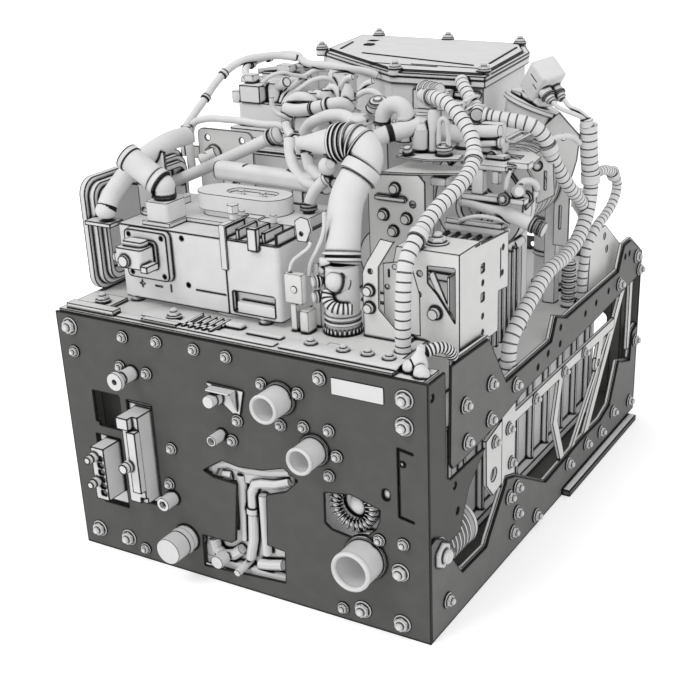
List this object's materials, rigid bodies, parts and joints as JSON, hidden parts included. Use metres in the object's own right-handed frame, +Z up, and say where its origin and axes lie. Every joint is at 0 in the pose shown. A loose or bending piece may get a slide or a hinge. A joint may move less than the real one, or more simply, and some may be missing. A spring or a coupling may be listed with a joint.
{
  "type": "hydrogen fuel cell",
  "caption": "Hydrogen fuel cell module: a plate frame holds the cell stack, with air, hydrogen, coolant and power parts piped and wired above it.",
  "frame": {"origin": "centre of the module on the floor, at the underside of the base rails", "axes": "X runs right along the front plate, Y from the front plate to the rear, Z up"},
  "size_m": [0.66, 0.906, 0.7245],
  "materials": {
    "frame_coat": "satin charcoal powder coat",
    "sheet_light": "pale grey sheet, satin",
    "cast_light": "pale grey casting, matt",
    "core_dark": "dark moulding, matt",
    "moulding_light": "pale grey moulding, matt",
    "hose_light": "pale grey hose, matt",
    "steel_light": "bright steel, satin"
  },
  "bodies": {
    "module": {"base_frame": "frame_coat", "front_plate": "frame_coat", "side_plate_upper": "frame_coat", "side_plate_lower": "frame_coat", "side_inner_right": "sheet_light", "side_plate_left": "frame_coat", "rear_plate": "frame_coat", "deck_tray": "sheet_light", "top_rails": "sheet_light", "nameplate_blank": "sheet_light", "stack_case": "cast_light", "cell_stack": "core_dark", "stack_end_plates": "cast_light", "tie_rods": "steel_light", "media_manifold": "core_dark", "air_ports": "steel_light", "coolant_port": "steel_light", "front_fittings": "steel_light", "sensor_bracket": "sheet_light", "signal_connector": "moulding_light", "power_connector": "moulding_light", "pipe_carrier": "sheet_light", "hydrogen_pipes": "steel_light", "ribbed_coolant_hose": "hose_light", "stack_bellows": "hose_light", "converter_case": "cast_light", "converter_boards": "core_dark", "converter_cover": "cast_light", "output_flange": "cast_light", "output_plug": "moulding_light", "busbar_duct": "cast_light", "left_cover": "moulding_light", "breather_stub": "cast_light", "intake_hose": "hose_light", "thin_tubes": "steel_light", "tube_plate": "sheet_light", "air_duct": "cast_light", "air_hose": "hose_light", "hose_housing": "cast_light", "front_bracket": "sheet_light", "electronics_bracket": "sheet_light", "rear_bracket": "sheet_light", "inverter_block": "cast_light", "humidifier": "moulding_light", "valve_block": "moulding_light", "control_valve": "cast_light", "rear_gusset": "sheet_light", "compressor_housing": "cast_light", "compressor_cover": "cast_light", "pump_body": "cast_light", "pump_cover": "cast_light", "relay_housing": "moulding_light", "top_cover": "cast_light", "junction_box": "moulding_light", "conduits": "moulding_light", "hose_collars": "moulding_light", "plate_bolts": "steel_light", "deck_bolts": "steel_light"},
    "compressor_shaft": {"compressor_rotor": "steel_light"},
    "pump_shaft": {"pump_rotor": "steel_light"}
  },
  "joints": [
    {"name": "compressor_spin", "type": "hinge", "parent": "module", "child": "compressor_shaft", "pos_m": [0.2, 0.1, 0.52], "axis": [0, 1, 0], "continuous": true},
    {"name": "pump_spin", "type": "hinge", "parent": "module", "child": "pump_shaft", "pos_m": [0.02, 0.08, 0.4], "axis": [0, 1, 0], "continuous": true}
  ]
}
